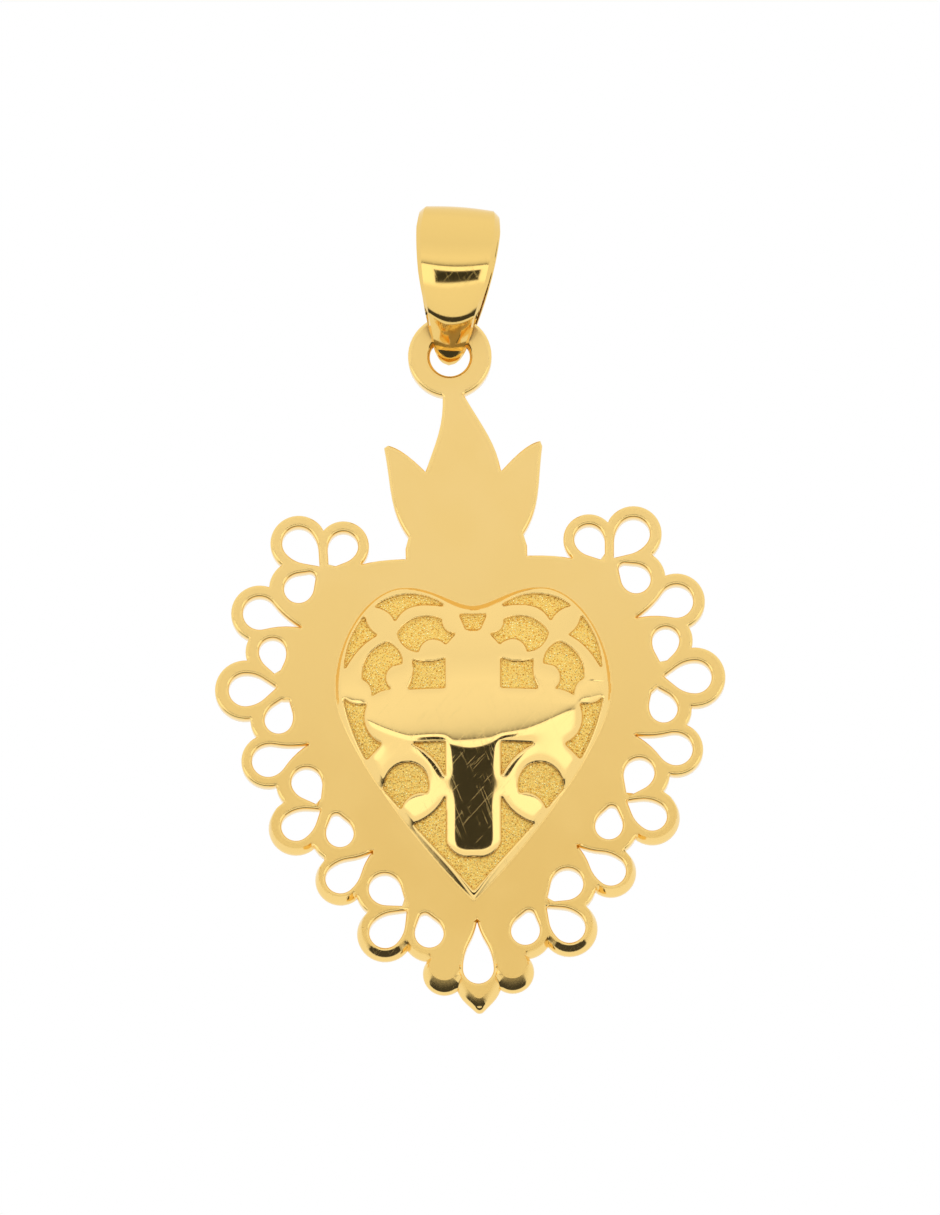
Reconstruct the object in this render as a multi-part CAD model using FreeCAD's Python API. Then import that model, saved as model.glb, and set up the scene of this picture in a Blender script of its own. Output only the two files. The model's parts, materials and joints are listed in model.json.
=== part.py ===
import FreeCAD, Part
import math
import os

# Sizes are in millimetres and turns in degrees. The pendant hangs upright with its face to -Y.
# The origin is where the chain bears, inside the crown of the bail.

# Pierced plate
sheet_thick = 0.85
bevel_depth = 0.42
eyelet_diameter = 4.2
eyelet_bore = 2.0
bore_chamfer = 0.12
eyelet_height = 16.82
eyelet_offset = -0.55
neck_left = 0.42
neck_right = 0.62
field_shoulder = 6.3
field_half_width = 9.9
field_tip = 15.2

# Flame: its foot is a height on the plate, and the others stand above the foot
flame_foot = 6.5
flame_half_width = 3.05
flame_waist = 2.88
leaf_tip_out = 3.97
leaf_tip_up = 5.7
notch_out = 1.9
notch_up = 4.4

# Drops of the lace border: how far each point stands past its round head, the half angle that it
# closes at, and the small round at the tip of the short ones
blunt_point = 0.34
round_point = 0.5
plump_point = 0.74
tail_point = 1.34
foot_point = 1.68
short_angle = 36
plump_angle = 38
lobe_angle = 32
tail_shoulder = 34
foot_shoulder = 30
tail_angle = 10
foot_tip_angle = 46
blunt_nose = 0.3
round_nose = 0.16
foot_lobe_radius = 1.08
foot_bevel = 0.65
foot_tip_radius = 1.2
foot_tip_drop = 1.8

# Domed heart stamped up from the plate
heart_half_width = 6.93
heart_lobe_top = 5.25
heart_cleft = 4.3
heart_tip = 10.8
flank_run = 0.32
heart_shift = 0.14
heart_lift = -0.33
heart_turn = -1.4
rim_height = 0.2
rim_fall = 0.012
dome_rise = 1.5
dome_peak = 1.0
ground_depth = 0.2
stamping_wall = 0.6
hollow_share = 0.86
heart_root = 0.3
skin_rows = 13
reach_window = 7

# Bail, a tapered strip folded to a loop and closed on its front leg. Heights are from the
# middle of the eyelet's top section, which is the axis that the plate swings about.
bail_lean = 5.9
bail_tilt = 12
bail_sideways = 0.12
bail_crown = 6.05
bail_belly = 2.65
bail_foot = 1.93
bail_depth = 5.2
belly_round = 1.25
quarter_pull = 0.5523
bail_half_width = 2.08
bail_shoulder = 2.0
bail_waist = 4.9
bail_corner = 0.3
strip_thick = 0.5
strip_edge = 0.36
tongue_thick = 0.3
tongue_half_width = 0.77
leg_end = 1.17

# Cuts run past the faces that they open by this much.
overrun = 1.0


def spot(x, z, y=0.0):
    return FreeCAD.Vector(x, y, z)


def line(start, end):
    return Part.LineSegment(spot(*start), spot(*end)).toShape()


def arc(start, middle, end):
    return Part.Arc(spot(*start), spot(*middle), spot(*end)).toShape()


def sweep(*poles):
    curve = Part.BezierCurve()
    curve.setPoles([spot(*pole) for pole in poles])
    return curve.toShape()


def slab(edges, front, back):
    """Solid between two depths, with its outline in the plane of the face."""
    face = Part.Face(Part.Wire(edges))
    face.translate(spot(0, 0, front))
    return face.extrude(spot(0, 0, back - front))


def disc(x, z, radius, front, back):
    return Part.makeCylinder(radius, back - front, spot(x, z, front), spot(0, 0, 1))


def mirrored(shape):
    return shape.mirror(spot(0, 0), spot(1, 0))


def both_sides(shapes):
    return shapes + [mirrored(shape) for shape in shapes]


def drop(x, z, turn, radius, reach, shoulder, half_angle, nose):
    """Outline of a drop: a half circle, and flanks that run in to the shoulder's angle and out
    again to the half angle of its point, which is sharp or has a small round nose."""
    along = math.radians(turn)
    wide = math.radians(shoulder)
    half = math.radians(half_angle)
    nose_at = reach - nose + nose * math.sin(half)
    nose_side = nose * math.cos(half)

    def place(forward, side):
        return (x + forward * math.cos(along) - side * math.sin(along),
                z + forward * math.sin(along) + side * math.cos(along))

    # A bulging arc and then a hollow one, or a straight run, meet where the flank is steepest.
    if shoulder == half_angle:
        bulge = (nose_side - radius + nose_at * math.tan(half)) / (1 / math.cos(half) - 1)
        hollow = 0
    else:
        run = math.sin(wide) - math.sin(half)
        rise = math.cos(half) - math.cos(wide)
        scale = math.sin(wide) * rise - run * (1 - math.cos(wide))
        bulge = (nose_at * rise - run * (radius - nose_side)) / scale
        hollow = (math.sin(wide) * (radius - nose_side) - (1 - math.cos(wide)) * nose_at) / scale

    def flank(side):
        def bulging(angle):
            return place(bulge * math.sin(angle), side * (radius - bulge * (1 - math.cos(angle))))

        def hollowed(angle):
            return place(nose_at - hollow * (math.sin(angle) - math.sin(half)),
                         side * (nose_side + hollow * (math.cos(half) - math.cos(angle))))

        first = arc(bulging(0), bulging(0.5 * wide), bulging(wide))
        if hollow == 0:
            return [first, line(bulging(wide), place(nose_at, side * nose_side))]
        end = place(nose_at, side * nose_side)
        return [first, arc(bulging(wide), hollowed(0.5 * (wide + half)), end)]

    head = arc(place(0, -radius), place(-radius, 0), place(0, radius))
    point = []
    if nose > 0:
        point = [arc(place(nose_at, nose_side), place(reach, 0), place(nose_at, -nose_side))]
    return [head] + flank(1) + point + flank(-1)[::-1]


def blunt_drop(x, z, turn, radius):
    return drop(x, z, turn, radius, radius + blunt_point, short_angle, short_angle, blunt_nose)


def round_drop(x, z, turn, radius):
    return drop(x, z, turn, radius, radius + round_point, short_angle, short_angle, round_nose)


def plump_drop(x, z, turn, radius):
    return drop(x, z, turn, radius, radius + plump_point, plump_angle, plump_angle, 0)


def tail_drop(x, z, turn, radius):
    return drop(x, z, turn, radius, radius + tail_point, tail_shoulder, tail_angle, 0)


def tail_lobe(x, z, turn, radius):
    return drop(x, z, turn, radius, radius + tail_point, lobe_angle, lobe_angle, 0)


def round_lobe(x, z, turn, radius):
    return [Part.makeCircle(radius, spot(x, z), spot(0, 0, 1))]


def foot_tip(x, z, turn, radius):
    reach = radius + foot_tip_drop - foot_tip_radius
    return drop(x, z, turn, radius, reach, foot_tip_angle, foot_tip_angle, blunt_nose)


# Each row of the right-hand border, from the shoulder down: shape, x, z, turn of its point,
# radius, metal round it, and how much of the lobe's front edge is filed off underneath
border = [
    (round_drop, 6.15, 7.23, 304, 0.73, 0.56, 0),
    (plump_drop, 8.38, 7.45, 230, 0.82, 0.60, 0),
    (blunt_drop, 8.45, 5.13, 137, 0.72, 0.76, 0),
    (tail_drop, 10.43, 3.93, 201, 0.83, 0.60, 0),
    (round_drop, 9.84, 1.95, 260, 0.67, 0.68, 0),
    (plump_drop, 11.25, 0.03, 177, 0.82, 0.70, 0),
    (round_drop, 9.63, -1.54, 112, 0.69, 0.72, 0),
    (tail_drop, 10.20, -3.62, 159, 0.81, 0.54, 0),
    (round_drop, 8.32, -4.77, 242, 0.75, 0.78, 0),
    (plump_drop, 8.90, -7.00, 147, 0.73, 0.65, 0.26),
    (blunt_drop, 6.72, -7.43, 77, 0.68, 0.78, 0),
    (tail_drop, 6.75, -9.72, 141, 0.75, 0.52, 0.36),
    (round_drop, 4.57, -10.32, 220, 0.78, 0.66, 0),
    (plump_drop, 4.60, -12.53, 136, 0.79, 0.62, 0.48),
    (blunt_drop, 2.40, -12.65, 75, 0.71, 0.64, 0.3),
]
foot_lobe = (1.70, -14.65)
foot_hole = (0.0, -14.50)
foot_hole_radius = 0.76
foot_tip_middle = (0.0, -14.90)


def lobe(shape, x, z, turn, radius, bevel, front, back):
    """Lobe whose front edge is filed off along its underside and fades to full at its top."""
    outline = shape(x, z, turn, radius)
    if bevel == 0:
        return [slab(outline, front, back)]
    face = Part.Wire(shape(x, z + 0.5 * bevel, turn, radius - 0.5 * bevel))
    face.translate(spot(0, 0, front))
    waist = Part.Wire(outline)
    waist.translate(spot(0, 0, front + bevel_depth))
    return [Part.makeLoft([face, waist], True, True), slab(outline, front + bevel_depth, back)]


def border_lobes(front, back):
    """Metal round each piercing: full drops round the large ones, round shoulders at the small ones."""
    lobes = []
    lobe_round = {blunt_drop: round_lobe, round_drop: round_lobe,
                  plump_drop: plump_drop, tail_drop: tail_lobe}
    for shape, x, z, turn, radius, rim, bevel in border:
        lobes += lobe(lobe_round[shape], x, z, turn, radius + rim, bevel, front, back)
    lobes += lobe(round_lobe, *foot_lobe, 0, foot_lobe_radius, foot_bevel, front, back)
    return both_sides(lobes) + lobe(foot_tip, *foot_tip_middle, 270, foot_tip_radius, foot_bevel, front, back)


def border_piercings(front, back):
    holes = []
    for shape, x, z, turn, radius, rim, bevel in border:
        holes.append(slab(shape(x, z, turn, radius), front, back))
    holes = both_sides(holes)
    reach = foot_hole_radius + foot_point
    middle = drop(*foot_hole, 90, foot_hole_radius, reach, foot_shoulder, tail_angle, 0)
    holes.append(slab(middle, front, back))
    return holes


def plate_field(front, back):
    """The plain heart-shaped middle that all the lobes grow from."""
    side = field_half_width
    low = -field_tip
    high = field_shoulder
    right = [line((0, flame_foot), (3.0, flame_foot)),
             sweep((3.0, flame_foot), (3.9, flame_foot), (4.6, high + 0.15), (5.2, high)),
             sweep((5.2, high), (9.2, high + 0.4), (side + 0.5, 4.8), (side, 2.0)),
             sweep((side, 2.0), (side - 0.1, -4.2), (4.6, low + 4.2), (0, low)),
             line((0, low), (0, flame_foot))]
    return both_sides([slab(right, front, back)])


def flame(front, back):
    """Two side leaves and a middle tongue, which leans over to carry the eyelet."""
    foot = flame_foot
    root = foot - 0.5
    base = flame_half_width
    tip = foot + leaf_tip_up
    out = leaf_tip_out
    notch = foot + notch_up
    leaf = [line((0, root), (base, root)),
            line((base, root), (base, foot + 0.5)),
            line((base, foot + 0.5), (flame_waist, foot + 1.1)),
            sweep((flame_waist, foot + 1.1), (flame_waist + 0.97, foot + 2.5), (out - 0.31, tip - 1.8),
                  (out, tip)),
            arc((out, tip), (out - 0.01, tip + 0.12), (out - 0.11, tip + 0.15)),
            sweep((out - 0.11, tip + 0.15), (out - 0.77, tip + 0.05), (notch_out + 0.55, notch + 0.6),
                  (notch_out, notch)),
            line((notch_out, notch), (0, notch)),
            line((0, notch), (0, root))]
    neck = eyelet_height - 0.5 * eyelet_diameter + 0.15
    left = eyelet_offset - neck_left
    right = eyelet_offset + neck_right
    side = notch_out - 0.05
    tongue = [line((-notch_out, notch - 0.5), (notch_out, notch - 0.5)),
              line((notch_out, notch - 0.5), (side, notch)),
              sweep((side, notch), (side - 0.23, notch + 1.5), (right + 0.88, notch + 2.3), (right, neck)),
              line((right, neck), (left, neck)),
              sweep((left, neck), (left + 0.02, notch + 2.3), (0.45 - side, notch + 1.5),
                    (-side - 0.1, notch)),
              line((-side - 0.1, notch), (-notch_out, notch - 0.5))]
    return both_sides([slab(leaf, front, back)]) + [slab(tongue, front, back)]


def fused(shapes):
    return shapes[0].fuse(shapes[1:]).removeSplitter()


def eyelet_hole():
    """Bore of the eyelet, widened at both faces where the bail bears."""
    radius = 0.5 * eyelet_bore
    front = -0.5 * sheet_thick
    bore = disc(eyelet_offset, eyelet_height, radius, front - overrun, overrun - front)
    mouth = Part.makeCone(radius + 2 * bore_chamfer, radius, 2 * bore_chamfer,
                          spot(eyelet_offset, eyelet_height, front - bore_chamfer), spot(0, 0, 1))
    rear = mouth.mirror(spot(0, 0), spot(0, 0, 1))
    return [bore, mouth, rear]


def pierced_plate():
    front = -0.5 * sheet_thick
    back = 0.5 * sheet_thick
    eyelet = disc(eyelet_offset, eyelet_height, 0.5 * eyelet_diameter, front, back)
    body = fused(plate_field(front, back) + flame(front, back) + border_lobes(front, back) + [eyelet])
    return body, border_piercings(front - overrun, back + overrun) + eyelet_hole()


def heart_outline(share):
    """Both halves of the heart, from its cleft round to its tip, drawn to a share of full size."""
    half = [((0, heart_cleft), (0.9, heart_cleft), (1.9, heart_lobe_top), (3.4, heart_lobe_top)),
            ((3.4, heart_lobe_top), (5.2, heart_lobe_top), (heart_half_width, 2.7), (heart_half_width, 0)),
            ((heart_half_width, 0), (heart_half_width, -2.6), (2.6, 2.6 - heart_tip), (0, -heart_tip))]
    right = [[(share * x, share * z) for x, z in curve] for curve in half]
    left = [[(-x, z) for x, z in reversed(curve)] for curve in reversed(right)]
    return [sweep(*curve) for curve in right + left]


def outline_reach():
    """Distance from the dome's peak to the heart's outline, as a function of direction."""
    peak = spot(0, dome_peak)
    points = Part.Wire(heart_outline(1.0)).discretize(240)
    offsets = sorted((math.atan2(p.z - peak.z, p.x - peak.x), math.hypot(p.x - peak.x, p.z - peak.z))
                     for p in points)

    def reach(x, z):
        turn = math.atan2(z - peak.z, x - peak.x)
        near = [distance for angle, distance in offsets
                if abs(math.remainder(angle - turn, math.tau)) < math.radians(reach_window)]
        return sum(near) / len(near)

    return reach


def dome_height(x, z, reach):
    """Height of the dome over the plate: an oval crown that takes the heart's own outline at the rim."""
    lower = heart_tip + dome_peak
    upper = heart_cleft + 0.2
    rise = z - dome_peak
    along = rise / (upper if rise > 0 else lower)
    across = x / heart_half_width
    oval = along ** 2 + across ** 2
    fall = (math.hypot(x, rise) / reach(x, z)) ** 2
    return rim_height - rim_fall * z + dome_rise * (1 - oval - (fall - oval) * min(fall, 1))


def dome_body(inset):
    """Everything behind the dome's skin, with the skin pushed in by the inset."""
    front = -0.5 * sheet_thick + inset
    reach = outline_reach()
    margin = 0.6
    side = heart_half_width + margin
    low = -heart_tip - margin
    high = heart_lobe_top + margin
    rows = []
    for i in range(skin_rows):
        x = side * (2 * i / (skin_rows - 1) - 1)
        heights = [low + (high - low) * j / (skin_rows - 1) for j in range(skin_rows)]
        rows.append([spot(x, z, front - dome_height(x, z, reach)) for z in heights])
    skin = Part.BSplineSurface()
    skin.interpolate(rows)
    depth = dome_rise + sheet_thick + 6 * overrun
    return skin.toShape().extrude(spot(0, 0, depth))


def heart_block():
    """The heart with sloped flanks, from inside the plate to above the dome."""
    front = -0.5 * sheet_thick
    high = dome_rise + rim_height
    draft = flank_run / heart_half_width / rim_height
    foot = Part.Wire(heart_outline(1.0 + draft * heart_root))
    foot.translate(spot(0, 0, front + heart_root))
    top = Part.Wire(heart_outline(1.0 - draft * high))
    top.translate(spot(0, 0, front - high))
    return Part.makeLoft([foot, top], True, True)


def ground_fields():
    """Outlines of the sunk grounds on the right half; what stands between them is cross and scrolls."""
    crescent = [arc((4.95, 4.22), (3.2, 4.85), (1.37, 4.22)),
                sweep((1.37, 4.22), (2.4, 4.32), (3.45, 4.45), (3.9, 3.35)),
                arc((3.9, 3.35), (4.15, 3.83), (4.95, 4.22))]
    sliver = [arc((5.4, 3.8), (6.12, 2.6), (6.45, 0.95)),
              sweep((6.45, 0.95), (6.1, 1.6), (5.6, 2.35), (4.75, 2.7)),
              arc((4.75, 2.7), (5.18, 3.12), (5.4, 3.8))]
    upper_scroll = [arc((3.78, 2.75), (2.95, 3.5), (1.53, 3.42)),
                    arc((1.53, 3.42), (1.45, 2.95), (0.83, 2.66)),
                    line((0.83, 2.66), (1.36, 2.03)),
                    arc((1.36, 2.03), (1.95, 2.38), (2.7, 1.68)),
                    arc((2.7, 1.68), (3.4, 2.02), (3.78, 2.75))]
    side_scroll = [arc((4.3, 2.3), (5.28, 1.55), (5.53, 0.42)),
                   arc((5.53, 0.42), (5.17, 0.1), (5.08, -0.5)),
                   arc((5.08, -0.5), (4.6, -0.24), (4.05, -0.2)),
                   arc((4.05, -0.2), (4.37, 0.48), (4.05, 1.02)),
                   line((4.05, 1.02), (3.52, 1.1)),
                   arc((3.52, 1.1), (3.72, 1.8), (4.3, 2.3))]
    square = [arc((3.05, 1.3), (2.2, 1.14), (1.38, 1.33)),
              line((1.38, 1.33), (1.38, -0.23)),
              line((1.38, -0.23), (3.28, -0.23)),
              arc((3.28, -0.23), (3.0, 0.55), (3.05, 1.3))]
    flank = [arc((6.5, -0.42), (5.92, -0.82), (5.3, -0.85)),
             arc((5.3, -0.85), (5.4, -1.95), (4.55, -2.88)),
             line((4.55, -2.88), (5.35, -3.58)),
             arc((5.35, -3.58), (6.05, -2.05), (6.5, -0.42))]
    low_scroll = [arc((4.5, -5.06), (3.4, -3.88), (2.3, -5.41)),
                  arc((2.3, -5.41), (3.05, -5.45), (3.62, -6.12)),
                  line((3.62, -6.12), (4.5, -5.06))]
    arm_corner = [line((3.15, -2.96), (1.38, -2.96)),
                  line((1.38, -2.96), (1.38, -4.73)),
                  arc((1.38, -4.73), (2.05, -3.68), (3.15, -2.96))]
    return [crescent, sliver, upper_scroll, side_scroll, square, flank, low_scroll, arm_corner]


def middle_grounds():
    """The two grounds that cross the middle line, over the head and round the foot of the cross."""
    head = [line((-0.68, 3.74), (0.68, 3.74)), line((0.68, 3.74), (0.35, 2.86)),
            line((0.35, 2.86), (-0.35, 2.86)), line((-0.35, 2.86), (-0.68, 3.74))]
    right = [arc((0, -8.6), (0.95, -8.42), (1.36, -7.85)),
             line((1.36, -7.85), (1.38, -5.53)),
             arc((1.38, -5.53), (2.05, -6.4), (3.02, -6.87)),
             line((3.02, -6.87), (0, -10.25))]
    left = [line((0, -10.25), (-3.02, -6.87)),
            arc((-3.02, -6.87), (-2.05, -6.4), (-1.38, -5.53)),
            line((-1.38, -5.53), (-1.36, -7.85)),
            arc((-1.36, -7.85), (-0.95, -8.42), (0, -8.6))]
    return [head, right + left]


def domed_heart():
    """The stamped heart with its sunk grounds, and the hollow that it leaves at the back."""
    front = -0.5 * sheet_thick
    high = dome_rise + rim_height + overrun
    body = heart_block().common(dome_body(0))
    grounds = both_sides([slab(edges, front - high, front + heart_root) for edges in ground_fields()])
    grounds += [slab(edges, front - high, front + heart_root) for edges in middle_grounds()]
    floor = dome_body(ground_depth)
    body = body.cut([ground.cut(floor) for ground in grounds])
    hollow = slab(heart_outline(hollow_share), front - high, 0.5 * sheet_thick + overrun)
    hollow = hollow.common(dome_body(stamping_wall))
    placing = FreeCAD.Placement(spot(heart_shift, heart_lift), FreeCAD.Rotation(spot(0, 0, 1), -heart_turn))
    return body.transformed(placing.toMatrix()), hollow.transformed(placing.toMatrix())


def heart_plate():
    plate, holes = pierced_plate()
    heart, hollow = domed_heart()
    return plate.fuse(heart).cut(holes + [hollow]).removeSplitter()


def loop_quarter(top_or_foot, half_depth):
    """Side view of a quarter of the loop, from the middle of its crown or foot to its belly."""
    side = 1 if top_or_foot > bail_belly else -1
    poles = [(0, top_or_foot), (quarter_pull * half_depth, top_or_foot),
             (half_depth, bail_belly + side * belly_round), (half_depth, bail_belly)]
    curve = Part.BezierCurve()
    curve.setPoles([FreeCAD.Vector(0, y, z) for y, z in poles])
    return curve.toShape()


def to_front(edge):
    """The same quarter on the side of the loop that the face shows."""
    return edge.mirror(spot(0, 0), spot(0, 0, 1))


def strip_loop():
    """The strip's crowned section, carried once round the loop at full width."""
    inner_crown = bail_crown - strip_thick
    inner_depth = 0.5 * bail_depth - strip_thick
    over = loop_quarter(inner_crown, inner_depth)
    under = loop_quarter(tongue_thick - bail_foot, inner_depth)
    path = Part.Wire([to_front(over), to_front(under), under, over])
    side = bail_half_width + 0.1
    edge = inner_crown + strip_edge
    section = Part.Wire([line((-side, inner_crown), (side, inner_crown)),
                         line((side, inner_crown), (side, edge)),
                         arc((side, edge), (0, bail_crown), (-side, edge)),
                         line((-side, edge), (-side, inner_crown))])
    pipe = Part.BRepOffsetAPI.MakePipeShell(path)
    pipe.setBiNormalMode(spot(1, 0))
    pipe.add(section)
    pipe.build()
    pipe.makeSolid()
    return pipe.shape()


def bail_front_view():
    """Outline of both legs from the front: rounded shoulders, a taper, and the tongue's round end."""
    top = bail_crown + overrun
    side = bail_shoulder
    flat = side - bail_corner
    corner = bail_corner * math.sqrt(0.5)
    right = [line((0, top), (flat, top)),
             line((flat, top), (flat, bail_crown)),
             arc((flat, bail_crown), (flat + corner, bail_crown - bail_corner + corner),
                 (side, bail_crown - bail_corner)),
             line((side, bail_crown - bail_corner), (bail_half_width, bail_waist)),
             sweep((bail_half_width, bail_waist), (bail_half_width - 0.1, 3.0),
                   (tongue_half_width + 0.7, 0.6), (tongue_half_width, -leg_end)),
             sweep((tongue_half_width, -leg_end), (0.6, -1.55), (0.42, -bail_foot), (0, -bail_foot))]
    left = [mirrored(edge) for edge in reversed(right)]
    return slab(right + left, -bail_depth, bail_depth)


def heel_cut():
    """What is filed away below the front leg's end, down to the thin tongue under the eyelet, and
    behind, where the back leg thickens slowly from the tongue to its belly."""
    far = bail_depth
    front = to_front(loop_quarter(-bail_foot, 0.5 * bail_depth - strip_thick + tongue_thick))
    back = loop_quarter(-bail_foot, 0.5 * bail_depth)
    across = Part.LineSegment(back.Vertexes[1].Point, front.Vertexes[1].Point).toShape()
    kept = Part.Face(Part.Wire([front, back, across])).extrude(spot(2 * far, 0))
    kept.translate(spot(-far, 0))
    below_leg = Part.makeBox(2 * far, far, far, spot(-far, -leg_end - far, -far))
    behind = Part.makeBox(2 * far, far, bail_belly + far, spot(-far, -far, 0))
    return below_leg.fuse(behind).cut(kept)


def bail_turn():
    """How the loose bail stands on the plate: its crown leans to one side and tilts to the front."""
    return FreeCAD.Rotation(spot(0, 0, 1), bail_lean) * FreeCAD.Rotation(spot(1, 0), bail_tilt)


def swing_axis():
    """Where the axis that the plate swings about stands under the chain."""
    return bail_turn().multVec(spot(0, strip_thick - bail_crown))


def bail():
    """The loop cut to its front view, and leaning over the eyelet as it was hung."""
    loop = strip_loop().common(bail_front_view()).cut(heel_cut())
    return loop.transformed(FreeCAD.Placement(swing_axis(), bail_turn()).toMatrix())


def hung_plate():
    """The plate hung by the top section of its eyelet from the swing axis."""
    section_middle = 0.25 * (eyelet_diameter + eyelet_bore)
    plate = heart_plate()
    plate.translate(swing_axis() - spot(bail_sideways + eyelet_offset, section_middle + eyelet_height))
    return plate


def main():
    os.makedirs("parts", exist_ok=True)
    plate = hung_plate()
    plate.exportStep("parts/heart_plate.step")
    loop = bail()
    loop.exportStep("parts/bail.step")
    print("swing axis", swing_axis())
    for name, shape in (("heart_plate", plate), ("bail", loop)):
        print(name, shape.isValid(), len(shape.Solids), round(shape.Volume, 3), shape.BoundBox)


main()
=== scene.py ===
import bpy
import json
import math
import numpy as np
from mathutils import Matrix, Vector
from mathutils.bvhtree import BVHTree
from mathutils.geometry import delaunay_2d_cdt


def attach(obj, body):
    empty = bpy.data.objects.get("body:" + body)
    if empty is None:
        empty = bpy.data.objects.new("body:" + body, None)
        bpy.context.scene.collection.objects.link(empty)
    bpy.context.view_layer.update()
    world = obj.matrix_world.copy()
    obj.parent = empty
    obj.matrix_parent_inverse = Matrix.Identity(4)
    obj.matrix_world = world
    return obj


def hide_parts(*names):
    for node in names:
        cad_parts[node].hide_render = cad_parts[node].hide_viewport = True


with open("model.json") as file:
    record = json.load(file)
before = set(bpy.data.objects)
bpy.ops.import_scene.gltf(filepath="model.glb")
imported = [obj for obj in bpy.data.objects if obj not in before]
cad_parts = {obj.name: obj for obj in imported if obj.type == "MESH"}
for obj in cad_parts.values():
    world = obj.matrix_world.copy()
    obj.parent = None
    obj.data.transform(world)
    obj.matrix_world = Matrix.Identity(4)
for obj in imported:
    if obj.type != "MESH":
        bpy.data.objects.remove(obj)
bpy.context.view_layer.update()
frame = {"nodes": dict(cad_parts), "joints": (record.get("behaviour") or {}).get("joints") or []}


# The plate is one sheet of yellow gold, stamped up into the heart and pierced to lace. Its faces
# are satin with a faint upright grain. The heart, the walls and the filed edges are polished and
# lightly scratched, and the sunk grounds are punched with fine stipple. Light is painted into the
# colour too: painted shade darkens the satin towards the bottom, a painted reflection deepens the
# grounds, and a painted shade line runs along their walls.
class Wire:
    """A socket that is added, scaled and compared like a number. node() makes any node, with its
    inputs in order or by name."""

    def __init__(self, tree, socket=None):
        self.tree = tree
        self.socket = socket

    def node(self, kind, *inputs, out=0, named=None, stops=None, **settings):
        made = self.tree.nodes.new(kind)
        for name, value in settings.items():
            setattr(made, name, value)
        for number, (place, value) in enumerate(stops or []):
            stop = made.color_ramp.elements[number] if number < 2 else made.color_ramp.elements.new(place)
            stop.position = place
            stop.color = (value, value, value, 1)
        for key, value in list(enumerate(inputs)) + list((named or {}).items()):
            if isinstance(value, Wire):
                self.tree.links.new(value.socket, made.inputs[key])
            elif value is not None:
                made.inputs[key].default_value = value
        return Wire(self.tree, made.outputs[out] if made.outputs else None)

    def maths(self, operation, *values):
        return self.node("ShaderNodeMath", *values, operation=operation)

    def __add__(self, other):
        return self.maths("ADD", self, other)

    def __sub__(self, other):
        return self.maths("SUBTRACT", self, other)

    def __rsub__(self, other):
        return self.maths("SUBTRACT", other, self)

    def __mul__(self, other):
        return self.maths("MULTIPLY", self, other)

    def smooth(self, low, high):
        return self.node("ShaderNodeMapRange", self, low, high, 0.0, 1.0, interpolation_type="SMOOTHSTEP")

    def blend(self, first, second):
        return self.node("ShaderNodeMix", out=2, data_type="RGBA", named={0: self, 6: first, 7: second})

    def noise(self, scale, detail=2.0):
        return self.node("ShaderNodeTexNoise", named={"Vector": self, "Scale": scale, "Detail": detail})

    def stretched(self, x, y, z):
        return self.node("ShaderNodeVectorMath", self, (x, y, z), operation="MULTIPLY")


satin_painted_shade_low = (0.82, 0.553, 0.173, 1)
satin_painted_light_high = (0.9, 0.643, 0.243, 1)
satin_cloud = (0.88, 0.615, 0.212, 1)
polished = (0.925, 0.665, 0.25, 1)
bail_shade = (0.86, 0.6, 0.195, 1)
punched_painted_bounce = (0.97, 0.68, 0.17, 1)
wall_painted_shade_colour = (0.64, 0.3, 0.035, 1)
satin_roughness = 0.3
polish_gain = -0.25
stipple_depth = 0.00005
grain_depth = 0.0000012
scratch_depth = 0.000001

gold = bpy.data.materials.new("pendant_gold")
gold.use_nodes = True
gold.node_tree.nodes.clear()
wire = Wire(gold.node_tree)
place = wire.node("ShaderNodeTexCoord", out=3)
ground = wire.node("ShaderNodeAttribute", out=2, attribute_name="ground")
polish = wire.node("ShaderNodeAttribute", out=2, attribute_name="polish")
deeper = wire.node("ShaderNodeAttribute", out=2, attribute_name="deeper")
grain = place.stretched(9000.0, 9000.0, 500.0).noise(1.0)
cloud = place.noise(260.0)
pits = place.node("ShaderNodeTexVoronoi", named={"Vector": place, "Scale": 7500.0})
lumps = place.noise(5200.0)
scratch_a = place.node("ShaderNodeMapping", named={"Vector": place, "Rotation": (0.0, -1.2, 0.0)})
scratch_a = scratch_a.stretched(500.0, 500.0, 42000.0).noise(1.0, 1.0).smooth(0.68, 0.74)
scratch_b = place.node("ShaderNodeMapping", named={"Vector": place, "Rotation": (0.0, 0.8, 0.0)})
scratch_b = scratch_b.stretched(600.0, 600.0, 42000.0).noise(1.0, 1.0).smooth(0.69, 0.75)
scratches = (scratch_a + scratch_b) * 0.5
# Painted shade: the satin faces are painted darker and more orange towards the bottom of the plate, by
# height.
painted_shade_rise = place.node("ShaderNodeSeparateXYZ", place, out=2).smooth(-0.036, -0.014)
satin_tone_and_painted_shade = painted_shade_rise.blend(satin_painted_shade_low, satin_painted_light_high)
satin_tone_and_painted_shade = (cloud.smooth(0.35, 0.65) * 0.5).blend(satin_tone_and_painted_shade, satin_cloud)
colour = polish.blend(satin_tone_and_painted_shade, polished)
colour = deeper.blend(colour, bail_shade)
# Painted reflection: the sunk grounds are painted a deeper gold, for light that has met gold more than once
# in the pits.
colour = (ground * 0.85).blend(colour, punched_painted_bounce)
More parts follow.
